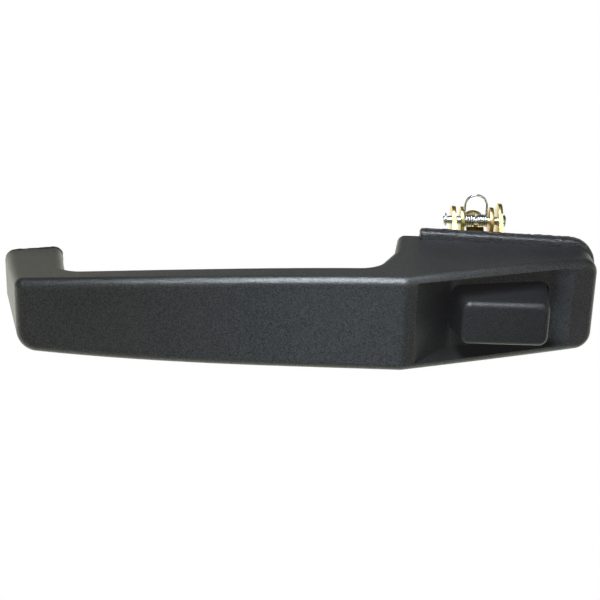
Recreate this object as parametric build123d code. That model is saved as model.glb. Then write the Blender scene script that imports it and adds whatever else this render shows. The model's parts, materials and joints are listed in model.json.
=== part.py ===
from build123d import *
import math
import os

# Exterior car door handle: a fixed pull grip with a push button in the housing at its right end.
# X runs along the grip towards the button, Y runs into the door, Z is up. Y = 0 is the door skin,
# X = 0 lies halfway between the two mounting studs, and Z = 0 is the height of the studs.
# All sizes are in millimetres.

# ---- Moulded body -------------------------------------------------------------------------------
GRIP_FRONT_Y = -47.0  # front face of the grip, the stand-off from the door skin
GRIP_BACK_Y = -33.9  # finger side of the grip
FRONT_LEFT_X = -102.8  # left end of the front face
FOOT_LEFT_X = -116.7  # left end where the foot meets the door
BODY_RIGHT_X = 112.5
BEND_X = 40.0  # where the front face turns back towards the door
BODY_STATIONS_X = (-30.0, 34.0, 76.0)  # between the left end and the right end
FRONT_TOP_Z = (13.9, 16.5, 18.2, 18.3, 17.9)  # height of the front face at the five stations
FRONT_BOTTOM_Z = (-13.9, -17.7, -18.2, -18.5, -18.3)
DOOR_TOP_Z = (8.9, 17.0, 20.1, 19.4, 18.2)  # the same stations at the door skin
DOOR_BOTTOM_Z = (-14.8, -17.6, -18.3, -18.6, -18.4)
HOUSING_BACK_Y = -6.0  # back of the housing, against its gasket
HEEL_BACK_Y = -2.0  # back of the housing's heel, left of the gasket
HEEL_RIGHT_X = 45.8
FOOT_BACK_Y = -2.0  # back of the foot, against its gasket
BEND_R = 6.0
EDGE_R = 3.2  # rounding of the front edges
BACK_EDGE_R = 3.0  # rounding of the finger side

# The housing's front face falls back towards the right, and a recess is sunk into it.
WEDGE_START_Y = -46.3
WEDGE_END_Y = -19.0
RECESS_LEFT_X = 42.2
RECESS_RIGHT_X = 103.2
RECESS_TOP_Z = (16.2, 15.9)  # left and right ends
RECESS_BOTTOM_Z = (-15.6, -15.4)
FLOOR_LEFT = (56.0, -26.5)  # plan points of the recess floor
FLOOR_RIGHT = (94.6, -19.0)
RECESS_RIM_R = 1.0

# ---- Push button --------------------------------------------------------------------------------
BUTTON_X = 75.2
BUTTON_Z = 0.3
BUTTON_WIDTH = 32.0
BUTTON_HEIGHT = 16.6
BUTTON_FRONT_Y = -43.2
BUTTON_WALL = 2.0
SIDE_SPREAD = 3.4  # how far the left and right sides spread from the front to the flange
TOP_SPREAD = 0.1
BOTTOM_SPREAD = 2.0
BUTTON_GAP = 0.45  # between the button and its opening
BUTTON_EDGE_R = 2.3
COLLAR_Y = -16.0  # back end of the collar that guides the button
SEAL_THICKNESS = 1.0
FLANGE_THICKNESS = 2.0
FLANGE_LIP = 1.6  # flange overhang beyond the collar's opening
CAVITY_GAP = 0.5
TRAVEL = 6.5  # button stroke into the door

# ---- Fixings ------------------------------------------------------------------------------------
STUD_X = 103.0
STUD_R = 3.0
SHANK_R = 2.65  # mean radius of the stud's thread inside its insert
STUD_END_Y = 18.0
INSERT_R = 4.2
INSERT_LENGTH = 10.0
SEAT_GAP = 0.02  # radial gap of parts that are pressed together

# ---- Mechanism bracket --------------------------------------------------------------------------
PLATE_THICKNESS = 2.0
PLATE_LEFT_X = 46.8
PLATE_RIGHT_X = 88.0
TAB_LEFT_X = 80.0  # the plate's tab, from under the right ear out past the right stud
TAB_RIGHT_X = 109.5
TAB_HEIGHT = 13.0
PLATE_BOTTOM_Z = -11.5
PLATE_TOP_Z = 15.8
EAR_THICKNESS = 1.6
LEFT_EAR_X = 60.2  # middle of each ear
RIGHT_EAR_X = 78.5
LEFT_EAR_R = 5.7
RIGHT_EAR_R = 7.1
EAR_ROOT_Z = 6.4
EAR_ROOT_END_Y = 1.5  # where the ears start to rise towards the pin
SCREW_X = 50.8
SCREW_Z = (7.5, -5.5)
SCREW_R = 1.45
SCREW_HEAD_R = 2.8
WASHER_THICKNESS = 0.6

# ---- Lever, pin and springs ---------------------------------------------------------------------
PIVOT_Y = 15.0
PIVOT_Z = 21.6
PIN_R = 1.65
PIN_END_X = 56.2
CHEEK_THICKNESS = 1.5
LEFT_CHEEK_X = 63.7  # middle of each cheek
RIGHT_CHEEK_X = 75.3
CHEEK_R = 5.5
RUNNING_GAP = 0.05  # radial gap of turning and sliding fits
WEB_FRONT_Y = 13.0
WEB_THICKNESS = 1.5
WEB_TOP_Z = 16.0
ARM_X = 69.6  # middle of the output arm
ARM_WIDTH = 7.0
ARM_LENGTH = 16.0
ARM_RISE_DEG = 23.0
ROD_HOLE_R = 2.1
ADJUSTER_R = 2.0
FREE_PLAY = 0.3  # gap between the stem and the adjuster at rest
RETURN_WIRE_R = 0.45  # the button's return spring
RETURN_MEAN_R = 4.5
RETURN_TURNS = 10
COIL_WIRE_R = 0.45  # the lever's torsion spring
COIL_MEAN_R = 2.2
COIL_TURNS = 4
COIL_PITCH = 0.94
BAIL_HALF_WIDTH = 4.35
BAIL_MIDDLE_X = 69.35
BAIL_TOP_Z = 31.5
TAIL_END_Z = 18.3
WIRE_GAP = 0.04  # between the lengths of the torsion spring's wire

# The adjuster's domed tip starts half a stroke in front of the pivot and ends half a stroke behind.
DOME_Y = PIVOT_Y - TRAVEL / 2
TIP_Y = DOME_Y - ADJUSTER_R
STEM_R = 2.5
STEM_END_Y = TIP_Y - FREE_PLAY
STEM_START_Y = -41.0
BUSH_R = 3.6
BUSH_FLANGE_R = 5.4
BUSH_FLANGE = 1.2
BUSH_END_Y = -2.4
CLIP_R = 4.0
CLIP_THICKNESS = 0.8
PIN_HEAD_R = 2.85
PIN_HEAD_LENGTH = 2.1
PIN_GROOVE_R = 1.2
STOP_THICKNESS = 1.0
FLANGE_Y = COLLAR_Y + SEAL_THICKNESS  # front of the button's flange
PLATE_BACK_Y = HOUSING_BACK_Y + PLATE_THICKNESS

FRONT = Plane.XZ  # sketches in this plane use X and Z; its normal points out of the door


def at_depth(y):
    """The front-view sketch plane moved to depth y."""
    return FRONT.offset(-y)


def slab(sketch, y_start, y_end):
    """A front-view sketch given thickness from depth y_start back to y_end."""
    return extrude(at_depth(y_end) * sketch, y_end - y_start)


def rod(x, z, radius, y_start, y_end):
    """A round bar along Y."""
    return slab(Pos(x, z) * Circle(radius), y_start, y_end)


def cross_bar(y, z, radius, x_start, x_end):
    """A round bar along X."""
    return extrude(Plane.YZ.offset(x_start) * Pos(y, z) * Circle(radius), x_end - x_start)


def side_plate(sketch, x_middle, thickness):
    """A side-view sketch, drawn in Y and Z, given thickness about x_middle."""
    return extrude(Plane.YZ.offset(x_middle - thickness / 2) * sketch, thickness)


def outline(left_x, tops, bottoms, corner_radii):
    """Closed front-view outline of the body: gently arched top and bottom, rounded corners."""
    stations = (left_x, *BODY_STATIONS_X, BODY_RIGHT_X)
    top = list(zip(stations, tops))
    bottom = list(zip(stations, bottoms))
    sides = [Line(top[-1], bottom[-1]), Line(bottom[0], top[0])]
    face = make_face([Spline(*top), sides[0], Spline(*reversed(bottom)), sides[1]])
    for corner, radius in zip((top[0], top[-1], bottom[-1], bottom[0]), corner_radii):
        nearest = face.vertices().sort_by_distance(Vector(*corner))[0]
        face = fillet(nearest, radius)
    return face


def body_blank():
    """The body's outer envelope, from the front face to the door skin."""
    front = outline(FRONT_LEFT_X, FRONT_TOP_Z, FRONT_BOTTOM_Z, (3.4, 6.0, 6.5, 8.0))
    door = outline(FOOT_LEFT_X, DOOR_TOP_Z, DOOR_BOTTOM_Z, (4.5, 6.0, 6.5, 7.0))
    return loft([at_depth(GRIP_FRONT_Y) * front, at_depth(0) * door], ruled=True)


def tall_prism(points, rounding):
    """A plan-view polygon with rounded corners, taller than the body. rounding is (index, radius)."""
    face = make_face(Polyline(*points, close=True))
    for index, radius in rounding:
        corner = face.vertices().sort_by_distance(Vector(*points[index]))[0]
        face = fillet(corner, radius)
    return extrude(Plane.XY.offset(-40) * face, 80)


def finger_gap():
    """The space behind the grip, between the raked foot and the curved neck of the housing."""
    points = [
        (-95.4, 6),
        (-86.6, GRIP_BACK_Y),
        (27.5, GRIP_BACK_Y),
        (35.1, -17.5),
        (38.2, 6),
    ]
    return tall_prism(points, ((1, 8.0), (2, 9.0), (3, 12.0)))


def wedge_y(x):
    """Depth of the housing's sloping front face at x."""
    share = (x - BEND_X) / (BODY_RIGHT_X - BEND_X)
    return WEDGE_START_Y + share * (WEDGE_END_Y - WEDGE_START_Y)


def wedge_cut():
    """The material in front of the housing's sloping face."""
    left_x = BEND_X - 10
    right_x = BODY_RIGHT_X + 10
    points = [(left_x, wedge_y(left_x)), (right_x, wedge_y(right_x)), (right_x, -70), (left_x, -70)]
    return tall_prism(points, ())


def beyond(start, through):
    """The plan point as far past the second point as the first is before it."""
    return (2 * through[0] - start[0], 2 * through[1] - start[1])


def recess():
    """The scoop around the button: sloping left wall, tilted floor, shallow right wall."""
    left_rim = (RECESS_LEFT_X, wedge_y(RECESS_LEFT_X))
    right_rim = (RECESS_RIGHT_X, wedge_y(RECESS_RIGHT_X))
    left_far = beyond(FLOOR_LEFT, left_rim)
    right_far = beyond(FLOOR_RIGHT, right_rim)
    points = [left_far, FLOOR_LEFT, FLOOR_RIGHT, right_far, (right_far[0], -90), (left_far[0], -90)]
    plan = tall_prism(points, ((1, 3.0), (2, 4.0)))
    corners = [
        (RECESS_LEFT_X - 3, RECESS_TOP_Z[0]),
        (RECESS_RIGHT_X + 1, RECESS_TOP_Z[1]),
        (RECESS_RIGHT_X + 1, RECESS_BOTTOM_Z[1]),
        (RECESS_LEFT_X - 3, RECESS_BOTTOM_Z[0]),
    ]
    face = make_face(Polyline(*corners, close=True))
    rounded = fillet(face.vertices().group_by(Axis.X)[-1], 5.0)
    return plan & slab(rounded, -60, -10)


def button_outline(y, growth, radius):
    """The button's rounded outline at depth y, grown on every side."""
    share = (y - BUTTON_FRONT_Y) / (FLANGE_Y - BUTTON_FRONT_Y)
    half_width = BUTTON_WIDTH / 2 + SIDE_SPREAD * share + growth
    top = BUTTON_HEIGHT / 2 + TOP_SPREAD * share + growth
    bottom = BUTTON_HEIGHT / 2 + BOTTOM_SPREAD * share + growth
    middle_z = BUTTON_Z + (top - bottom) / 2
    return Pos(BUTTON_X, middle_z) * RectangleRounded(2 * half_width, top + bottom, radius)


def tapered_block(growth, radius, y_start, y_end):
    """A block that follows the button's spreading sides from y_start to y_end."""
    near = at_depth(y_start) * button_outline(y_start, growth, radius)
    far = at_depth(y_end) * button_outline(y_end, growth, radius)
    return loft([near, far], ruled=True)


def button_pocket():
    """The button's opening through the recess floor and the wider cavity behind its collar."""
    opening = tapered_block(BUTTON_GAP, 3.8, BUTTON_FRONT_Y - 6, COLLAR_Y + 1)
    margin = BUTTON_GAP + FLANGE_LIP + CAVITY_GAP
    cavity = slab(button_outline(COLLAR_Y, margin, 3.0), COLLAR_Y, 2)
    return opening + cavity


def insert_seat(x, back_y):
    """Blind hole for one threaded insert."""
    return rod(x, 0, INSERT_R + SEAT_GAP, back_y - INSERT_LENGTH - 1, 2)


def on_front_rim(p):
    """True on the edge between the front faces and the body's sides."""
    if p.X < BEND_X:
        return p.Y < GRIP_FRONT_Y + 0.6 and not (abs(p.Z) < 5 and p.X > 0)
    side = abs(p.Z) > 12 or p.X > BODY_RIGHT_X - 2.5
    return side and abs(p.Y - wedge_y(p.X)) < 0.6


def on_recess_rim(p):
    """True on the recess's left and right edges, where it meets the sloping face."""
    near_end = min(abs(p.X - RECESS_LEFT_X), abs(p.X - RECESS_RIGHT_X)) < 1.0
    return near_end and abs(p.Y - wedge_y(p.X)) < 0.3 and abs(p.Z) < 5


def on_finger_gap(p):
    """True on the long upper and lower edges of the space behind the grip."""
    behind_front = GRIP_BACK_Y - 0.5 < p.Y < HOUSING_BACK_Y - 0.5
    return behind_front and abs(p.Z) > 8 and -94.5 < p.X < 39.0


def rounded(shape, radius, wanted):
    """The shape with every edge whose middle point passes the test rounded off."""
    return fillet(shape.edges().filter_by(lambda edge: wanted(edge @ 0.5)), radius)


def moulding():
    """Grip, foot and housing before the recess, the button's opening and the holes are made."""
    body = body_blank() - finger_gap() - wedge_cut()
    for left_x, right_x, back_y in (
        (FOOT_LEFT_X - 10, -50, FOOT_BACK_Y),
        (0, HEEL_RIGHT_X, HEEL_BACK_Y),
        (HEEL_RIGHT_X, BODY_RIGHT_X + 10, HOUSING_BACK_Y),
    ):
        body -= tall_prism([(left_x, back_y), (right_x, back_y), (right_x, 2), (left_x, 2)], ())
    body = rounded(body, BEND_R, lambda p: 36 < p.X < 41 and p.Y < -45 and abs(p.Z) < 5)
    body = rounded(body, EDGE_R, on_front_rim)
    return rounded(body, BACK_EDGE_R, on_finger_gap)


def handle_body():
    """Grip, foot and housing, moulded in one piece."""
    body = moulding() - recess()
    body = rounded(body, RECESS_RIM_R, on_recess_rim)
    body -= button_pocket()
    body -= insert_seat(-STUD_X, FOOT_BACK_Y) + insert_seat(STUD_X, HOUSING_BACK_Y)
    for z in SCREW_Z:
        body -= rod(SCREW_X, z, SCREW_R + SEAT_GAP, HOUSING_BACK_Y - 12, 2)
    return body


def foot_gasket():
    """Thin pad between the foot and the door."""
    foot_back = moulding().faces().filter_by(Axis.Y).sort_by(Axis.X)[0]
    pad = extrude(foot_back, amount=-FOOT_BACK_Y, dir=(0, 1, 0))
    return pad - rod(-STUD_X, 0, STUD_R + 0.4, -10, 10)


def housing_gasket():
    """Thick pad between the housing and the door, open on the left around the mechanism bracket."""
    corners = [(46.0, 23.0), (113.8, 20.8), (113.8, -19.4), (46.0, -19.4)]
    face = make_face(Polyline(*corners, close=True))
    bottom_corner, top_corner = face.vertices().group_by(Axis.X)[-1].sort_by(Axis.Y)
    face = fillet(fillet(top_corner, 10.0).vertices().sort_by_distance(bottom_corner)[0], 6.0)
    window = Pos(66, 1.75) * RectangleRounded(89.6, 29.5, 3.0)
    return slab(face - window, HOUSING_BACK_Y, 0)


def threaded_inserts():
    """Two brass inserts moulded into the foot and the housing, each with two grip grooves."""
    inserts = []
    for x, back_y in ((-STUD_X, FOOT_BACK_Y), (STUD_X, HOUSING_BACK_Y)):
        insert = rod(x, 0, INSERT_R, back_y - INSERT_LENGTH, back_y)
        insert -= rod(x, 0, SHANK_R + SEAT_GAP, back_y - INSERT_LENGTH, back_y)
        for share in (0.3, 0.6):
            middle_y = back_y - share * INSERT_LENGTH
            ring = rod(x, 0, INSERT_R + 1, middle_y - 0.6, middle_y + 0.6)
            insert -= ring - rod(x, 0, INSERT_R - 0.5, middle_y - 1, middle_y + 1)
        inserts.append(insert)
    return Compound(children=inserts)


def mounting_studs():
    """Two M6 studs that pass through the door skin."""
    studs = []
    for x, back_y in ((-STUD_X, FOOT_BACK_Y), (STUD_X, HOUSING_BACK_Y)):
        stud = rod(x, 0, STUD_R, 0, STUD_END_Y)
        stud = chamfer(stud.edges().group_by(Axis.Y)[-1], 0.8)
        studs.append(stud + rod(x, 0, SHANK_R, back_y - INSERT_LENGTH + 0.5, 0))
    return Compound(children=studs)


def push_button():
    """Hollow button cap with a boss for the stem and a flange that stays behind the collar."""
    cap = tapered_block(0, 3.4, BUTTON_FRONT_Y, FLANGE_Y)
    cap = fillet(cap.faces().sort_by(Axis.Y)[0].edges(), BUTTON_EDGE_R)
    flange_back_y = FLANGE_Y + FLANGE_THICKNESS
    flange = button_outline(COLLAR_Y, BUTTON_GAP + FLANGE_LIP, 3.0)
    cap += slab(flange, FLANGE_Y, flange_back_y)
    inner_front_y = BUTTON_FRONT_Y + BUTTON_WALL
    cap -= tapered_block(-BUTTON_WALL, 1.6, inner_front_y, flange_back_y)
    boss = rod(BUTTON_X, BUTTON_Z, STEM_R + 1.1, inner_front_y - 0.5, inner_front_y + 13)
    return cap + boss - rod(BUTTON_X, BUTTON_Z, STEM_R + SEAT_GAP, STEM_START_Y, 0)


def button_seal():
    """Rubber ring between the button's flange and the collar, against dust and rattle."""
    ring = button_outline(COLLAR_Y, BUTTON_GAP + FLANGE_LIP - 0.1, 3.0)
    inner = button_outline(COLLAR_Y, 0.3, 3.6)
    return slab(ring - inner, COLLAR_Y, FLANGE_Y)


def button_stem():
    """Steel rod pressed into the button's boss, grooved for its clip, with a rounded tip."""
    stem = rod(BUTTON_X, BUTTON_Z, STEM_R, STEM_START_Y, STEM_END_Y)
    stem = fillet(stem.edges().group_by(Axis.Y)[-1], 0.8)
    groove_y = BUSH_END_Y + STOP_THICKNESS
    groove = rod(BUTTON_X, BUTTON_Z, STEM_R + 1, groove_y, groove_y + CLIP_THICKNESS + 0.1)
    return stem - (groove - rod(BUTTON_X, BUTTON_Z, STEM_R - 0.5, groove_y - 1, groove_y + 2))


def stem_bush():
    """Flanged plastic bush in the bracket plate that guides the stem and seats its spring."""
    flange_y = HOUSING_BACK_Y - BUSH_FLANGE
    bush = rod(BUTTON_X, BUTTON_Z, BUSH_FLANGE_R, flange_y, HOUSING_BACK_Y)
    bush += rod(BUTTON_X, BUTTON_Z, BUSH_R, flange_y, BUSH_END_Y)
    return bush - rod(BUTTON_X, BUTTON_Z, STEM_R + RUNNING_GAP, flange_y, BUSH_END_Y)


def stem_stop_washer():
    """Rubber washer that cushions the button as it springs back."""
    washer = rod(BUTTON_X, BUTTON_Z, CLIP_R, BUSH_END_Y, BUSH_END_Y + STOP_THICKNESS)
    return washer - rod(BUTTON_X, BUTTON_Z, STEM_R + RUNNING_GAP, -10, 10)


def clip_ring(outer_r, inner_r):
    """Flat C-shaped clip seen face on, its mouth at the bottom."""
    mouth = Pos(0, -outer_r) * Rectangle(1.7 * inner_r, 2 * outer_r)
    return Circle(outer_r) - Circle(inner_r) - mouth


def stem_e_clip():
    """Retaining clip in the stem's groove."""
    start_y = BUSH_END_Y + STOP_THICKNESS
    ring = Pos(BUTTON_X, BUTTON_Z) * clip_ring(CLIP_R, STEM_R - 0.5 + SEAT_GAP)
    return slab(ring, start_y, start_y + CLIP_THICKNESS)


def button_return_spring():
    """Compression spring between the button's front wall and the bush."""
    start_y = BUTTON_FRONT_Y + BUTTON_WALL + RETURN_WIRE_R + 0.05
    end_y = HOUSING_BACK_Y - BUSH_FLANGE - RETURN_WIRE_R - 0.05
    length = end_y - start_y
    place = Plane(origin=(BUTTON_X, start_y, BUTTON_Z), x_dir=(1, 0, 0), z_dir=(0, 1, 0))
    path = place * Helix(length / RETURN_TURNS, length, RETURN_MEAN_R)
    start = Plane(path @ 0, z_dir=path % 0)
    return sweep(start * Circle(RETURN_WIRE_R), path=path, is_frenet=True)


def ear(x_middle, radius):
    """One upright ear of the bracket, running back and up from the plate to the pivot pin."""
    middle_z = (EAR_ROOT_Z + PLATE_TOP_Z) / 2
    height = PLATE_TOP_Z - EAR_ROOT_Z
    length = EAR_ROOT_END_Y - HOUSING_BACK_Y
    root = Pos(HOUSING_BACK_Y + length / 2, middle_z) * Rectangle(length, height)
    tip = Pos(PIVOT_Y, PIVOT_Z) * Circle(radius)
    foot = Pos(EAR_ROOT_END_Y - 0.5, middle_z) * Rectangle(1, height)
    arm = make_hull(tip.edges() + foot.edges())
    hole = Pos(PIVOT_Y, PIVOT_Z) * Circle(PIN_R + SEAT_GAP)
    return side_plate(root + arm - hole, x_middle, EAR_THICKNESS)


def mechanism_bracket():
    """Pressed steel plate screwed to the housing's back, with two ears that hold the pivot pin."""
    plate_width = PLATE_RIGHT_X - PLATE_LEFT_X
    plate_height = PLATE_TOP_Z - PLATE_BOTTOM_Z
    middle = Pos(PLATE_LEFT_X + plate_width / 2, PLATE_BOTTOM_Z + plate_height / 2)
    face = middle * RectangleRounded(plate_width, plate_height, 3.0)
    tab_width = TAB_RIGHT_X - TAB_LEFT_X
    tab_middle = Pos(TAB_LEFT_X + tab_width / 2, 0)
    face += tab_middle * RectangleRounded(tab_width, TAB_HEIGHT, TAB_HEIGHT / 2 - 0.1)
    for z in SCREW_Z:
        face -= Pos(SCREW_X, z) * Circle(SCREW_R + 0.2)
    face -= Pos(STUD_X, 0) * Circle(STUD_R + 0.3)
    face -= Pos(BUTTON_X, BUTTON_Z) * Circle(BUSH_R + SEAT_GAP)
    plate = slab(face, HOUSING_BACK_Y, PLATE_BACK_Y)
    return plate + ear(LEFT_EAR_X, LEFT_EAR_R) + ear(RIGHT_EAR_X, RIGHT_EAR_R)


def bracket_screws():
    """Two pan-head screws with crossed slots."""
    screws = []
    head_y = PLATE_BACK_Y + WASHER_THICKNESS
    for z in SCREW_Z:
        head = rod(SCREW_X, z, SCREW_HEAD_R, head_y, head_y + 2.0)
        head = fillet(head.edges().group_by(Axis.Y)[-1], 0.9)
        for width, height in ((2.6, 0.6), (0.6, 2.6)):
            head -= slab(Pos(SCREW_X, z) * Rectangle(width, height), head_y + 1.0, head_y + 3)
        screws.append(head + rod(SCREW_X, z, SCREW_R, HOUSING_BACK_Y - 10, head_y))
    return Compound(children=screws)


def bracket_spring_washers():
    """Two split washers under the screw heads."""
    washers = []
    for z in SCREW_Z:
        ring = Circle(SCREW_HEAD_R - 0.1) - Circle(SCREW_R + 0.15) - Pos(2.2, 0) * Rectangle(2, 0.3)
        place = Pos(SCREW_X, z)
        washers.append(slab(place * ring, PLATE_BACK_Y, PLATE_BACK_Y + WASHER_THICKNESS))
    return Compound(children=washers)


def cheek(x_middle):
    """One side of the lever, from the pivot down to the web."""
    boss = Pos(PIVOT_Y, PIVOT_Z) * Circle(CHEEK_R)
    foot = Pos(WEB_FRONT_Y + 2, 9) * Rectangle(4, 4)
    hole = Pos(PIVOT_Y, PIVOT_Z) * Circle(PIN_R + RUNNING_GAP)
    return side_plate(make_hull(boss.edges() + foot.edges()) - hole, x_middle, CHEEK_THICKNESS)


def lever_web():
    """Front plate of the lever, spreading at the bottom to meet the button's stem."""
    left_x = LEFT_CHEEK_X - CHEEK_THICKNESS / 2
    right_x = RIGHT_CHEEK_X + CHEEK_THICKNESS / 2
    corners = [
        (left_x, WEB_TOP_Z),
        (right_x, WEB_TOP_Z),
        (right_x, 9.0),
        (81.0, 5.0),
        (81.0, -4.5),
        (69.4, -4.5),
        (left_x, 4.0),
    ]
    face = make_face(Polyline(*corners, close=True))
    face = fillet(face.vertices().filter_by(lambda v: v.Z < 0 or v.Y < 0), 2.5)
    hole = Pos(BUTTON_X, BUTTON_Z) * Circle(ADJUSTER_R + SEAT_GAP)
    return slab(face - hole, WEB_FRONT_Y, WEB_FRONT_Y + WEB_THICKNESS)


def output_arm():
    """Tongue that runs back from the web, with the hole for the latch rod."""
    straight = ARM_LENGTH - ARM_WIDTH / 2
    tongue = Pos(0, straight / 2) * Rectangle(ARM_WIDTH, straight)
    tongue += Pos(0, straight) * Circle(ARM_WIDTH / 2)
    tongue -= Pos(0, straight) * Circle(ROD_HOLE_R)
    start = Location((ARM_X, WEB_FRONT_Y + 0.45, WEB_TOP_Z - WEB_THICKNESS), (ARM_RISE_DEG, 0, 0))
    return start * extrude(tongue, WEB_THICKNESS)


def release_lever():
    """Bell crank: two cheeks on the pivot pin, a web pushed by the stem, an arm for the rod."""
    return cheek(LEFT_CHEEK_X) + cheek(RIGHT_CHEEK_X) + lever_web() + output_arm()


def adjuster_screw():
    """Domed set screw in the web, slotted at its far end, that takes up the free play."""
    end_y = WEB_FRONT_Y + 8
    thread = rod(BUTTON_X, BUTTON_Z, ADJUSTER_R, DOME_Y, end_y)
    dome = Sphere(ADJUSTER_R).moved(Location((BUTTON_X, DOME_Y, BUTTON_Z)))
    slot = slab(Pos(BUTTON_X, BUTTON_Z) * Rectangle(6, 0.8), end_y - 1, end_y + 1)
    return thread + dome - slot


def adjuster_locknut():
    """Hexagon nut that locks the adjuster against the web."""
    start_y = WEB_FRONT_Y + WEB_THICKNESS
    across_corners_r = 3.5 / math.cos(math.pi / 6)
    nut = slab(Pos(BUTTON_X, BUTTON_Z) * RegularPolygon(across_corners_r, 6), start_y, start_y + 2.4)
    return nut - rod(BUTTON_X, BUTTON_Z, ADJUSTER_R + SEAT_GAP, start_y, start_y + 2.4)


def pivot_pin():
    """Pin through both ears, with a domed head on the right and a clip groove on the left."""
    head_x = RIGHT_EAR_X + EAR_THICKNESS / 2 + 0.05
    head = cross_bar(PIVOT_Y, PIVOT_Z, PIN_HEAD_R, head_x, head_x + PIN_HEAD_LENGTH)
    head = fillet(head.edges().group_by(Axis.X)[-1], 1.6)
    shaft = cross_bar(PIVOT_Y, PIVOT_Z, PIN_R, PIN_END_X, head_x)
    shaft = chamfer(shaft.edges().group_by(Axis.X)[0], 0.3)
    groove_x = PIN_END_X + 0.7
    groove = cross_bar(PIVOT_Y, PIVOT_Z, PIN_R + 1, groove_x, groove_x + 0.65)
    return shaft + head - (groove - cross_bar(PIVOT_Y, PIVOT_Z, PIN_GROOVE_R, PIN_END_X, head_x))


def pin_e_clip():
    """Retaining clip on the pin's left end."""
    ring = Pos(PIVOT_Y, PIVOT_Z) * clip_ring(PIN_HEAD_R - 0.1, PIN_GROOVE_R + SEAT_GAP)
    return side_plate(ring, PIN_END_X + 1.0, 0.55)


def lever_torsion_spring():
    """Double torsion spring: a bail over the top, a coil on each side and two tails on the arm.
    The wire is modelled in five lengths that meet end to end."""
    wire = Circle(COIL_WIRE_R)
    left_x = BAIL_MIDDLE_X - BAIL_HALF_WIDTH
    right_x = BAIL_MIDDLE_X + BAIL_HALF_WIDTH
    back_y = PIVOT_Y + COIL_MEAN_R
    place = Plane(origin=(left_x, PIVOT_Y, PIVOT_Z), x_dir=(0, 1, 0), z_dir=(1, 0, 0))
    path = place * Helix(COIL_PITCH, COIL_PITCH * COIL_TURNS, COIL_MEAN_R, lefthand=True)
    coil = sweep(Plane(path @ 0, z_dir=path % 0) * wire, path=path, is_frenet=True)
    tail_x = left_x + COIL_PITCH * COIL_TURNS
    tail_length = PIVOT_Z - WIRE_GAP - TAIL_END_Z
    tail = extrude(Plane.XY.offset(TAIL_END_Z) * Pos(tail_x, back_y) * wire, tail_length)
    start_z = PIVOT_Z + WIRE_GAP
    arch_z = BAIL_TOP_Z - BAIL_HALF_WIDTH
    left_leg = Line((left_x, back_y, start_z), (left_x, back_y, arch_z))
    top = (BAIL_MIDDLE_X, back_y, BAIL_TOP_Z)
    arch = ThreePointArc((left_x, back_y, arch_z), top, (right_x, back_y, arch_z))
    right_leg = Line((right_x, back_y, arch_z), (right_x, back_y, start_z))
    bail_path = Wire([left_leg, arch, right_leg])
    bail = sweep(Plane(bail_path @ 0, z_dir=bail_path % 0) * wire, path=bail_path)
    middle = Plane.YZ.offset(BAIL_MIDDLE_X)
    return Compound(children=[coil, tail, bail, mirror(coil, about=middle), mirror(tail, about=middle)])


def write(name, shape):
    """Saves one sub-part under its own name."""
    shape.label = name
    export_step(shape, os.path.join("parts", name + ".step"))


NODES = (
    handle_body,
    foot_gasket,
    housing_gasket,
    threaded_inserts,
    mounting_studs,
    push_button,
    button_seal,
    button_stem,
    stem_bush,
    stem_stop_washer,
    stem_e_clip,
    button_return_spring,
    mechanism_bracket,
    bracket_screws,
    bracket_spring_washers,
    release_lever,
    adjuster_screw,
    adjuster_locknut,
    pivot_pin,
    pin_e_clip,
    lever_torsion_spring,
)

os.makedirs("parts", exist_ok=True)
for make in NODES:
    write(make.__name__, make())
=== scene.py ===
import json
import math

import bmesh
import bpy
from mathutils import Matrix, Vector, noise


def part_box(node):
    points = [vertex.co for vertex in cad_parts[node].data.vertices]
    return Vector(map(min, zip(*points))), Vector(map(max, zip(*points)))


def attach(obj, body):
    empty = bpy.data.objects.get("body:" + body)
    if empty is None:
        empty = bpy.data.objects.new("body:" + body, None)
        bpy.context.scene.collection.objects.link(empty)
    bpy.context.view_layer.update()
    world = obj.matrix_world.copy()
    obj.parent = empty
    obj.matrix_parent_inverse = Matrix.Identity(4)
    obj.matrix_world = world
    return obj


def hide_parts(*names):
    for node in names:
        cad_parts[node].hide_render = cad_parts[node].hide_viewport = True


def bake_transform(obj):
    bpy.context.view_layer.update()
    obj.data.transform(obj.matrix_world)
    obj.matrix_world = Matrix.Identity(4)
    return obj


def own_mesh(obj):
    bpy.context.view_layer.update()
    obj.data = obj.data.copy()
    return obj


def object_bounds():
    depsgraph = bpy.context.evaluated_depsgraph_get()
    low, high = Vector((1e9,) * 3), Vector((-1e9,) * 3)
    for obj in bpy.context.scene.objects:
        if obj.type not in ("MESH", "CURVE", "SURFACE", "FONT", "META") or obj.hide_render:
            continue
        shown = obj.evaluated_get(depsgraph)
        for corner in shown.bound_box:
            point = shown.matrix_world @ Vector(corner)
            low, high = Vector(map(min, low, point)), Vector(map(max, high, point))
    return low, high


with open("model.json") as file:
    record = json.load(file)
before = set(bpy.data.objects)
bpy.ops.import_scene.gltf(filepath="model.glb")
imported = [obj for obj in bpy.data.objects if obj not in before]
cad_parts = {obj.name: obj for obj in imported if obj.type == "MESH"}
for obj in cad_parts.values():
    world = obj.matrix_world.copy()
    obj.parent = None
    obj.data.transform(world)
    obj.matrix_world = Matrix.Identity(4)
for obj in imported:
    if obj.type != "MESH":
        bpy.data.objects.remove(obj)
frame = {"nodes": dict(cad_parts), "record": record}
cad_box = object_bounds()
NODES = frame["nodes"]

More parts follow.
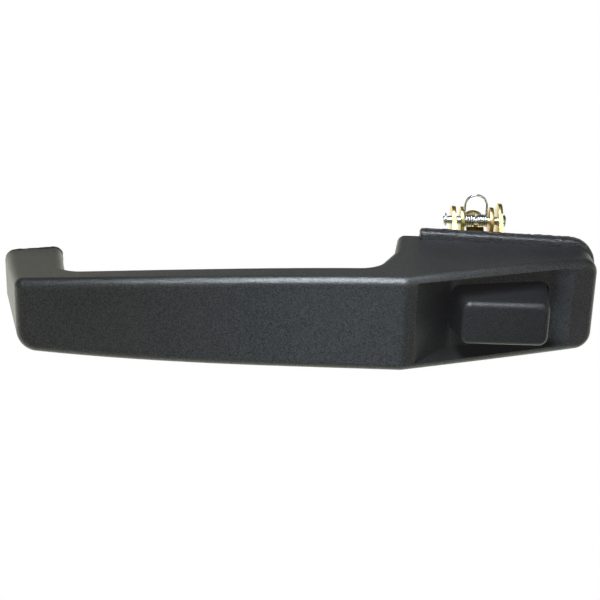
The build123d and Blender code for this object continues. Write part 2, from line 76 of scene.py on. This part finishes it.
MM = 0.001
CAMERA_ELEVATION = math.radians(21.0)
CAMERA_ROLL = math.radians(1.6)
CAMERA_DISTANCE = 480 * MM
CAMERA_SPAN = 216 * MM  # width seen at the grip's front face
AIM_HEIGHT = 9.3 * MM
FLOOR_DROP = 150 * MM
FLOOR_SIZE = 6.0
STRAY_LIGHT_GLOW = 0.0085  # faint emission that stands in for stray light on the black plastic
BUTTON_SHINE = 0.55  # share of the body's reflection that the duller-looking button has
FLOOR_NEAR = (0.06, 0.06, 0.06)  # light thrown back in front of the object
FLOOR_FAR = (1.60, 1.66, 1.46)
FLOOR_FADE = (-0.30, 0.05)  # depths between which the floor's light grows from near to far
FLOOR_FADE_SLANT = 0.25  # how far the fade leans back per metre to the right
SKY_BRIGHT_TO = math.radians(9)  # height above the horizon
SKY_DARK_FROM = math.radians(16)

SPRING_WIRE_R = 0.45 * MM
RETURN_ACTIVE_TURNS = 8.5
CLOSED_COIL_ADVANCE = 1.02  # in wire thicknesses
TORSION_TURNS = 4
TORSION_COIL_LENGTH = 3.76 * MM
THREAD_FLANK_RISE = 2.7  # height gained along a whole pitch, in thread heights
THREAD_ROOT_FLAT = 0.18  # height taken off, which leaves the root flat
STUD_SHANK_R = 2.6 * MM  # on the handle's side of the door skin
STUD_PITCH = 1.0 * MM
STUD_THREAD_DEPTH = 0.6 * MM
STUD_CHAMFER = 1.0 * MM
LEFT_STUD_START = 4 * MM  # how much nearer the door the foot's stud starts than the housing's
ADJUSTER_PITCH = 0.7 * MM
ADJUSTER_THREAD_DEPTH = 0.42 * MM
ADJUSTER_CHAMFER = 0.5 * MM
SLOT_CUTTER = (6 * MM, 2 * MM, 0.8 * MM)  # blade that leaves a slot 1 mm deep
EDGE_EASE_MM = 0.22
UNEVEN_CELL = 1.3 * MM  # size of the uneven patches on foam and rubber

scene = bpy.context.scene


# ---- Node helpers -------------------------------------------------------------------------------
class Shader:
    """A new material's nodes, with short ways to add and join them."""

    def __init__(self, name):
        self.material = bpy.data.materials.new(name)
        self.material.use_nodes = True
        self.tree = self.material.node_tree
        self.surface = self.tree.nodes["Principled BSDF"]
        self.place = self.add("ShaderNodeTexCoord").outputs["Object"]

    def add(self, kind, **settings):
        node = self.tree.nodes.new(kind)
        for key, value in settings.items():
            if hasattr(node, key):
                setattr(node, key, value)
            else:
                node.inputs[key].default_value = value
        return node

    def join(self, source, target):
        self.tree.links.new(source, target)

    def noise(self, cell_mm, detail=2.0, roughness=0.5):
        """Noise whose blobs are about cell_mm across."""
        node = self.add("ShaderNodeTexNoise", Scale=1 / (cell_mm * MM), Detail=detail)
        node.inputs["Roughness"].default_value = roughness
        self.join(self.place, node.inputs["Vector"])
        return node.outputs["Fac"]

    def cells(self, cell_mm):
        """Distance to the centres of random cells about cell_mm apart."""
        node = self.add("ShaderNodeTexVoronoi", Scale=1 / (cell_mm * MM))
        self.join(self.place, node.inputs["Vector"])
        return node.outputs["Distance"]

    def ramp(self, source, stops):
        """Colours or greys along 0 to 1, joined to source."""
        node = self.add("ShaderNodeValToRGB")
        elements = node.color_ramp.elements
        while len(elements) < len(stops):
            elements.new(0.5)
        for element, (position, colour) in zip(elements, stops):
            element.position = position
            element.color = (*colour, 1.0)
        self.join(source, node.inputs["Fac"])
        return node.outputs["Color"]

    def grey(self, source, low, high, start=0.0, end=1.0):
        """source remapped from start..end to low..high."""
        node = self.add("ShaderNodeMapRange")
        for key, value in (("From Min", start), ("From Max", end), ("To Min", low), ("To Max", high)):
            node.inputs[key].default_value = value
        self.join(source, node.inputs["Value"])
        return node.outputs["Result"]

    def maths(self, operation, a, b):
        node = self.add("ShaderNodeMath", operation=operation)
        for socket, value in zip(node.inputs, (a, b)):
            if isinstance(value, (int, float)):
                socket.default_value = value
            else:
                self.join(value, socket)
        return node.outputs["Value"]

    def bump(self, height, depth_mm, strength=1.0):
        node = self.add("ShaderNodeBump", Strength=strength, Distance=depth_mm * MM)
        self.join(height, node.inputs["Height"])
        self.join(node.outputs["Normal"], self.surface.inputs["Normal"])

    def feed(self, **sockets):
        """Sets or joins Principled inputs; an underscore stands for a space."""
        for key, value in sockets.items():
            socket = self.surface.inputs[key.replace("_", " ")]
            if isinstance(value, bpy.types.NodeSocket):
                self.join(value, socket)
            elif isinstance(value, tuple):
                socket.default_value = (*value, 1.0)
            else:
                socket.default_value = value


# ---- Materials ----------------------------------------------------------------------------------
def grained_plastic(name, shine=1.0):
    """Near-black moulding with a fine grain and faint smears, plus a faint painted glow that stands in
    for stray light; shine scales its reflection.
    """
    s = Shader(name)
    grain = s.noise(0.6, 3.0, 0.6)
    fine = s.noise(0.35, 2.0)
    smear = s.noise(26.0, 3.0)
    tone = s.ramp(smear, [(0.3, (0.0050, 0.0050, 0.0051)), (0.7, (0.0068, 0.0068, 0.0070))])
    glint = s.maths("ADD", s.maths("MULTIPLY", grain, 0.5), s.maths("MULTIPLY", fine, 0.5))
    s.feed(
        Base_Color=tone,
        Roughness=s.grey(smear, 0.40, 0.45, 0.3, 0.7),
        Specular_IOR_Level=s.grey(glint, 0.28 * shine, shine, 0.38, 0.62),
        # painted light: a faint bluish glow on the plastic that lifts its black, standing in for stray
        # light
        Emission_Color=(0.9, 0.9, 1.0),
        Emission_Strength=STRAY_LIGHT_GLOW,
    )
    s.bump(s.maths("ADD", grain, s.maths("MULTIPLY", fine, 0.6)), 0.115, 1.0)
    return s.material


def foam_rubber():
    """Black closed-cell foam with a slight sparkle from its cut cells."""
    s = Shader("foam_rubber")
    pits = s.cells(0.7)
    tone = s.ramp(s.noise(5.0), [(0.3, (0.008, 0.008, 0.010)), (0.7, (0.014, 0.014, 0.017))])
    s.feed(Base_Color=tone, Roughness=0.42, Specular_IOR_Level=s.grey(pits, 0.2, 0.8, 0.1, 0.6))
    s.bump(s.maths("ADD", pits, s.noise(0.4)), 0.16, 1.0)
    return s.material


def seal_rubber():
    s = Shader("seal_rubber")
    tone = s.ramp(s.noise(2.0), [(0.3, (0.010, 0.010, 0.010)), (0.7, (0.018, 0.018, 0.018))])
    s.feed(Base_Color=tone, Roughness=0.6)
    s.bump(s.noise(0.3), 0.02, 0.6)
    return s.material


def metal(name, stops, blob_mm, roughness):
    """A plated or bare metal: colour wanders along the stops, with fine scratches."""
    s = Shader(name)
    tone = s.ramp(s.noise(blob_mm, 1.0, 0.4), stops)
    scratch = s.noise(0.15, 4.0, 0.7)
    low, high = roughness
    s.feed(Base_Color=tone, Metallic=1.0, Roughness=s.grey(scratch, low, high, 0.3, 0.7))
    s.bump(scratch, 0.008, 0.5)
    return s.material


def yellow_zinc():
    """Yellow passivated plating, wandering from olive through straw to orange."""
    stops = [
        (0.25, (0.26, 0.30, 0.12)),
        (0.42, (0.44, 0.39, 0.15)),
        (0.52, (0.60, 0.50, 0.23)),
        (0.62, (0.56, 0.38, 0.14)),
        (0.80, (0.38, 0.21, 0.11)),
    ]
    return metal("yellow_zinc", stops, 7.0, (0.28, 0.42))


def clear_zinc():
    stops = [(0.35, (0.42, 0.45, 0.50)), (0.65, (0.60, 0.60, 0.59))]
    return metal("clear_zinc", stops, 3.0, (0.20, 0.35))


def spring_wire():
    stops = [(0.35, (0.45, 0.46, 0.48)), (0.65, (0.62, 0.62, 0.62))]
    return metal("spring_wire", stops, 2.0, (0.18, 0.30))


def turned_brass():
    stops = [(0.35, (0.60, 0.43, 0.17)), (0.65, (0.74, 0.56, 0.27))]
    return metal("turned_brass", stops, 3.0, (0.22, 0.36))


def acetal():
    s = Shader("acetal")
    tone = s.ramp(s.noise(3.0), [(0.3, (0.70, 0.69, 0.65)), (0.7, (0.80, 0.79, 0.75))])
    s.feed(Base_Color=tone, Roughness=0.4, Subsurface_Weight=0.15, Subsurface_Scale=0.001)
    s.bump(s.noise(0.4), 0.01, 0.4)
    return s.material


FINISHES = {
    "grained_plastic": grained_plastic("grained_plastic"),
    "button_plastic": grained_plastic("button_plastic", BUTTON_SHINE),
    "gasket_foam": foam_rubber(),
    "seal_rubber": seal_rubber(),
    "brass_insert": turned_brass(),
    "zinc_steel": clear_zinc(),
    "yellow_zinc_steel": yellow_zinc(),
    "spring_steel": spring_wire(),
    "bush_plastic": acetal(),
}
NODE_SLOT = {row["node"]: row["material_slot"] for row in frame["record"]["subparts"]}
NODE_BODY = {
    node: body for body, nodes in frame["record"]["behaviour"]["bodies"].items() for node in nodes
}


def dress(obj, finish):
    """Gives an object the finish of that name."""
    obj.data.materials.clear()
    obj.data.materials.append(FINISHES[finish])


for name, node in NODES.items():
    dress(node, NODE_SLOT[name])
dress(NODES["push_button"], "button_plastic")


# ---- Meshes made here ---------------------------------------------------------------------------
def finished_mesh(name, points, faces):
    """A smooth-shaded mesh object with its normals pointing outwards."""
    mesh = bpy.data.meshes.new(name)
    mesh.from_pydata(points, [], faces)
    shell = bmesh.new()
    shell.from_mesh(mesh)
    bmesh.ops.recalc_face_normals(shell, faces=shell.faces)
    shell.to_mesh(mesh)
    shell.free()
    mesh.shade_smooth()
    obj = bpy.data.objects.new(name, mesh)
    scene.collection.objects.link(obj)
    return obj


def skin(name, rings):
    """Joins equal rings of points into one closed surface, with a fan over each end."""
    sides = len(rings[0])
    points = [tuple(point) for ring in rings for point in ring]
    faces = []
    for row in range(len(rings) - 1):
        for k in range(sides):
            near = row * sides
            far = near + sides
            following = (k + 1) % sides
            faces.append((near + k, near + following, far + following, far + k))
    for row, ring in ((0, rings[0]), (len(rings) - 1, rings[-1])):
        middle = sum((Vector(point) for point in ring), Vector()) / sides
        points.append(tuple(middle))
        hub = len(points) - 1
        for k in range(sides):
            faces.append((hub, row * sides + k, row * sides + (k + 1) % sides))
    return finished_mesh(name, points, faces)


def wire(name, path, radius, sides=14):
    """A round wire along a list of points, its cross-section carried along without twist."""
    tangents = []
    for k in range(len(path)):
        step = path[min(k + 1, len(path) - 1)] - path[max(k - 1, 0)]
        tangents.append(step.normalized())
    across = tangents[0].orthogonal().normalized()
    rings = []
    for point, tangent in zip(path, tangents):
        across = (across - tangent * across.dot(tangent)).normalized()
        other = tangent.cross(across)
        ring = []
        for k in range(sides):
            angle = 2 * math.pi * k / sides
            ring.append(point + radius * (math.cos(angle) * across + math.sin(angle) * other))
        rings.append(ring)
    return skin(name, rings)


def turned_bar(name, x, z, depths, radius_at, sides=48):
    """A bar along Y. radius_at(depth, turn) gives its radius, with turn from 0 to 1 around it."""
    rings = []
    for y in depths:
        ring = []
        for k in range(sides):
            radius = radius_at(y, k / sides)
            angle = 2 * math.pi * k / sides
            ring.append((x + radius * math.cos(angle), y, z + radius * math.sin(angle)))
        rings.append(ring)
    return skin(name, rings)


def spread(start, end, count):
    """count evenly spaced values from start to end, both included."""
    return [start + (end - start) * k / (count - 1) for k in range(count)]


def thread_height(y, turn, pitch):
    """Height of a rolled thread, from 0 at the root to 1 at the crest."""
    phase = (y / pitch - turn) % 1.0
    return min(1.0, max(0.0, THREAD_FLANK_RISE * abs(phase - 0.5) - THREAD_ROOT_FLAT))


def use(piece, node, rides=True):
    """Makes piece stand for a CAD node, in that node's finish and, unless it bends, on its body."""
    dress(piece, NODE_SLOT[node])
    if rides:
        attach(piece, NODE_BODY[node])
    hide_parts(node)


def settled(obj):
    """Bakes an object's modifiers into its mesh."""
    shape = obj.evaluated_get(bpy.context.evaluated_depsgraph_get())
    mesh = bpy.data.meshes.new_from_object(shape)
    obj.modifiers.clear()
    obj.data = mesh


def soft_piece(node, cell_mm, bulge_mm, unevenness_mm):
    """A foam or rubber piece with softened edges that bulges halfway between its two faces."""
    piece = bpy.data.objects.new(node + "_soft", NODES[node].data.copy())
    scene.collection.objects.link(piece)
    remesh = piece.modifiers.new("remesh", "REMESH")
    remesh.mode = "VOXEL"
    remesh.voxel_size = cell_mm * MM
    relax = piece.modifiers.new("relax", "SMOOTH")
    relax.iterations = 4
    settled(piece)
    low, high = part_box(node)
    thickness = high.y - low.y
    normals = [vertex.normal.copy() for vertex in piece.data.vertices]
    for vertex, normal in zip(piece.data.vertices, normals):
        share = min(1.0, max(0.0, (vertex.co.y - low.y) / thickness))
        sideways = Vector((normal.x, 0, normal.z))
        uneven = noise.noise(vertex.co / UNEVEN_CELL) * unevenness_mm * MM
        vertex.co += sideways * (bulge_mm * MM * math.sin(math.pi * share) + uneven)
    piece.data.shade_smooth()
    use(piece, node)


def studs():
    """The two M6 studs with their rolled threads, cut down to the shank's radius inside the handle."""
    low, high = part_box("mounting_studs")
    radius = (high.z - low.z) / 2
    middle_z = (high.z + low.z) / 2
    rows_per_turn = 12

    def radius_at(y, turn):
        root = radius - STUD_THREAD_DEPTH
        at = root + STUD_THREAD_DEPTH * thread_height(y, turn, STUD_PITCH)
        if y < 0:
            at = min(at, STUD_SHANK_R)
        return min(at, radius - STUD_CHAMFER + (high.y - y))

    places = (("left", low.x + radius, low.y + LEFT_STUD_START), ("right", high.x - radius, low.y))
    for side, x, start_y in places:
        count = int((high.y - start_y) / STUD_PITCH * rows_per_turn)
        bar = turned_bar("stud_" + side, x, middle_z, spread(start_y, high.y, count), radius_at)
        use(bar, "mounting_studs")


def adjuster():
    """M4 set screw: domed tip towards the stem, rolled thread, slot at the far end."""
    low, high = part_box("adjuster_screw")
    radius = (high.x - low.x) / 2
    middle_x = (low.x + high.x) / 2
    middle_z = (low.z + high.z) / 2
    dome_y = low.y + radius

    def radius_at(y, turn):
        if y < dome_y:
            return math.sqrt(max(0.0, radius**2 - (dome_y - y) ** 2))
        root = radius - ADJUSTER_THREAD_DEPTH
        at = root + ADJUSTER_THREAD_DEPTH * thread_height(y, turn, ADJUSTER_PITCH)
        run_in = min(1.0, (y - dome_y) / ADJUSTER_PITCH)
        at = radius + (at - radius) * run_in
        return min(at, radius - ADJUSTER_CHAMFER + (high.y - y))

    tip = [dome_y - radius * math.cos(angle) for angle in spread(0.05, math.pi / 2, 14)]
    shaft = spread(dome_y, high.y, 150)
    bar = turned_bar("adjuster", middle_x, middle_z, tip[:-1] + shaft, radius_at, 40)
    bpy.ops.mesh.primitive_cube_add(size=1, location=(middle_x, high.y, middle_z))
    blade = bpy.context.object
    blade.scale = SLOT_CUTTER
    cut = bar.modifiers.new("slot", "BOOLEAN")
    cut.operation = "DIFFERENCE"
    cut.object = blade
    bpy.context.view_layer.update()
    settled(bar)
    bpy.data.objects.remove(blade)
    use(bar, "adjuster_screw")


def return_spring():
    """The button's compression spring, with one closed coil at each end."""
    low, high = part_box("button_return_spring")
    mean_r = (high.x - low.x) / 2 - SPRING_WIRE_R
    start_y = low.y + SPRING_WIRE_R
    length = high.y - low.y - 2 * SPRING_WIRE_R
    middle = Vector(((low.x + high.x) / 2, 0, (low.z + high.z) / 2))
    closed = 2 * SPRING_WIRE_R * CLOSED_COIL_ADVANCE
    pitch = (length - 2 * closed) / RETURN_ACTIVE_TURNS
    steps_per_turn = 36
    path = []
    for k in range(int((RETURN_ACTIVE_TURNS + 2) * steps_per_turn) + 1):
        turns = k / steps_per_turn
        advance = min(turns, 1) * closed
        advance += min(max(turns - 1, 0), RETURN_ACTIVE_TURNS) * pitch
        advance += max(turns - 1 - RETURN_ACTIVE_TURNS, 0) * closed
        angle = 2 * math.pi * turns
        ring = Vector((mean_r * math.cos(angle), start_y + advance, mean_r * math.sin(angle)))
        path.append(middle + ring)
    spring = wire("return_spring", path, SPRING_WIRE_R)
    use(spring, "button_return_spring")
    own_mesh(spring)


def torsion_spring():
    """One wire: tail, coil, bail over the top, coil, tail."""
    low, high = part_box("lever_torsion_spring")
    pin_low, pin_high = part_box("pivot_pin")
    mean_r = (high.y - low.y) / 2 - SPRING_WIRE_R
    pivot_y = (low.y + high.y) / 2
    pivot_z = (pin_low.z + pin_high.z) / 2
    back_y = pivot_y + mean_r
    middle_x = (low.x + high.x) / 2
    half_width = (high.x - low.x) / 2 - SPRING_WIRE_R
    inner_x = half_width - TORSION_COIL_LENGTH
    arch_z = high.z - SPRING_WIRE_R - half_width
    coil_steps = TORSION_TURNS * 32
    arch_steps = 12
    half = [Vector((inner_x, back_y, z)) for z in spread(low.z, pivot_z, 12)]
    for k in range(1, coil_steps + 1):
        angle = 2 * math.pi * TORSION_TURNS * k / coil_steps
        x = inner_x + TORSION_COIL_LENGTH * k / coil_steps
        half.append(Vector((x, pivot_y + mean_r * math.cos(angle), pivot_z + mean_r * math.sin(angle))))
    half += [Vector((half_width, back_y, z)) for z in spread(pivot_z, arch_z, 10)[1:]]
    for k in range(1, arch_steps + 1):
        angle = math.pi / 2 * k / arch_steps
        half.append(Vector((half_width * math.cos(angle), back_y, arch_z + half_width * math.sin(angle))))
    left = [Vector((middle_x - p.x, p.y, p.z)) for p in half]
    right = [Vector((middle_x + p.x, p.y, p.z)) for p in reversed(half[:-1])]
    spring = wire("torsion_spring", left + right, SPRING_WIRE_R)
    use(spring, "lever_torsion_spring", rides=False)
    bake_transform(spring)


def ease_edges(node, width_mm):
    """Small roundings on the sharp edges of a pressed or turned part."""
    weld = NODES[node].modifiers.new("weld", "WELD")
    weld.merge_threshold = 0.002 * MM
    bevel = NODES[node].modifiers.new("ease", "BEVEL")
    bevel.width = width_mm * MM
    bevel.segments = 2
    bevel.limit_method = "ANGLE"
    bevel.angle_limit = math.radians(40)
    bevel.harden_normals = True


soft_piece("housing_gasket", cell_mm=0.55, bulge_mm=0.35, unevenness_mm=0.25)
soft_piece("foot_gasket", cell_mm=0.4, bulge_mm=0.15, unevenness_mm=0.15)
soft_piece("button_seal", cell_mm=0.25, bulge_mm=0.05, unevenness_mm=0.04)
soft_piece("stem_stop_washer", cell_mm=0.2, bulge_mm=0.08, unevenness_mm=0.03)
studs()
adjuster()
return_spring()
torsion_spring()
for name in ("mechanism_bracket", "release_lever", "adjuster_locknut"):
    ease_edges(name, EDGE_EASE_MM)


# ---- Stage --------------------------------------------------------------------------------------
def white_to_camera(material_tree, shader, white, output):
    """Light Path switch: the camera sees plain white, everything else sees the shader."""
    path = material_tree.nodes.new("ShaderNodeLightPath")
    switch = material_tree.nodes.new("ShaderNodeMixShader")
    material_tree.links.new(path.outputs["Is Camera Ray"], switch.inputs["Fac"])
    material_tree.links.new(shader, switch.inputs[1])
    material_tree.links.new(white, switch.inputs[2])
    material_tree.links.new(switch.outputs[0], output)


def pale_floor(low):
    """Wide floor under the object that the camera sees as plain white.
    The light that it throws on the object is set apart and fades towards the camera's side."""
    bpy.ops.mesh.primitive_plane_add(size=FLOOR_SIZE, location=(0, 0, low - FLOOR_DROP))
    floor = bpy.context.object
    floor.name = "floor"
    s = Shader("pale_floor")
    split = s.add("ShaderNodeSeparateXYZ")
    s.join(s.place, split.inputs[0])
    slant = s.maths("MULTIPLY", split.outputs["X"], FLOOR_FADE_SLANT)
    depth = s.maths("SUBTRACT", split.outputs["Y"], slant)
    share = s.grey(depth, 0.0, 1.0, *FLOOR_FADE)
    fade = s.ramp(share, [(0.0, FLOOR_NEAR), (1.0, FLOOR_FAR)])
    glow = s.add("ShaderNodeEmission", Strength=1.0)
    s.join(fade, glow.inputs["Color"])
    white = s.add("ShaderNodeEmission", Strength=1.0)
    output = s.tree.nodes["Material Output"].inputs["Surface"]
    white_to_camera(s.tree, glow.outputs[0], white.outputs[0], output)
    floor.data.materials.append(s.material)


def sky(low_light, high_light):
    """World light: bright up to a little above the horizon and dim overhead. The camera sees it white."""
    world = bpy.data.worlds.new("studio")
    scene.world = world
    world.use_nodes = True
    tree = world.node_tree
    place = tree.nodes.new("ShaderNodeTexCoord")
    split = tree.nodes.new("ShaderNodeSeparateXYZ")
    ramp = tree.nodes.new("ShaderNodeValToRGB")
    first, last = ramp.color_ramp.elements
    first.position, first.color = math.sin(SKY_BRIGHT_TO), (*low_light, 1)
    last.position, last.color = math.sin(SKY_DARK_FROM), (*high_light, 1)
    tree.links.new(place.outputs["Generated"], split.inputs[0])
    tree.links.new(split.outputs["Z"], ramp.inputs["Fac"])
    tree.links.new(ramp.outputs["Color"], tree.nodes["Background"].inputs["Color"])
    white = tree.nodes.new("ShaderNodeBackground")
    white.inputs["Color"].default_value = (1, 1, 1, 1)
    output = tree.nodes["World Output"].inputs["Surface"]
    white_to_camera(tree, tree.nodes["Background"].outputs[0], white.outputs[0], output)


def soft_light(name, place, target, sizes, power, colour=(1, 1, 1)):
    """Rectangular area light that points at target; sizes are across and along."""
    data = bpy.data.lights.new(name, "AREA")
    data.shape = "RECTANGLE"
    data.size, data.size_y = sizes
    data.energy = power
    data.color = colour
    light = bpy.data.objects.new(name, data)
    light.location = place
    light.rotation_euler = (Vector(target) - Vector(place)).to_track_quat("-Z", "Y").to_euler()
    light.visible_camera = False
    scene.collection.objects.link(light)


def camera(aim):
    """Camera in front of the grip, looking down on it, slightly rolled."""
    data = bpy.data.cameras.new("camera")
    data.sensor_width = 36
    data.lens = data.sensor_width * CAMERA_DISTANCE / CAMERA_SPAN
    data.clip_start = 0.01
    view = bpy.data.objects.new("camera", data)
    back = Vector((0, -math.cos(CAMERA_ELEVATION), math.sin(CAMERA_ELEVATION)))
    turn = back.to_track_quat("Z", "Y").to_matrix()
    roll = Matrix.Rotation(CAMERA_ROLL, 3, "Z")
    view.matrix_world = Matrix.Translation(aim + back * CAMERA_DISTANCE) @ (turn @ roll).to_4x4()
    scene.collection.objects.link(view)
    scene.camera = view


face_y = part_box("handle_body")[0].y
pale_floor(cad_box[0][2])
scene.view_settings.view_transform = "Standard"
sky(low_light=(0.95, 0.95, 0.76), high_light=(0.03, 0.028, 0.024))
camera(Vector((0, face_y, AIM_HEIGHT)))
soft_light(
    "key",
    place=(0.022, -0.13, 0.245),
    target=(0.022, face_y, 0.012),
    sizes=(0.05, 0.22),
    power=2.1,
    colour=(0.84, 0.93, 1.0),
)
soft_light(
    "sheen",
    place=(0.032, -0.235, -0.070),
    target=(0.024, face_y, 0),
    sizes=(0.05, 0.05),
    power=0.055,
    colour=(0.62, 0.80, 1.0),
)
soft_light("fill", place=(0.55, -0.75, 0.45), target=(0.05, -0.03, 0), sizes=(0.7, 0.7), power=1.4)
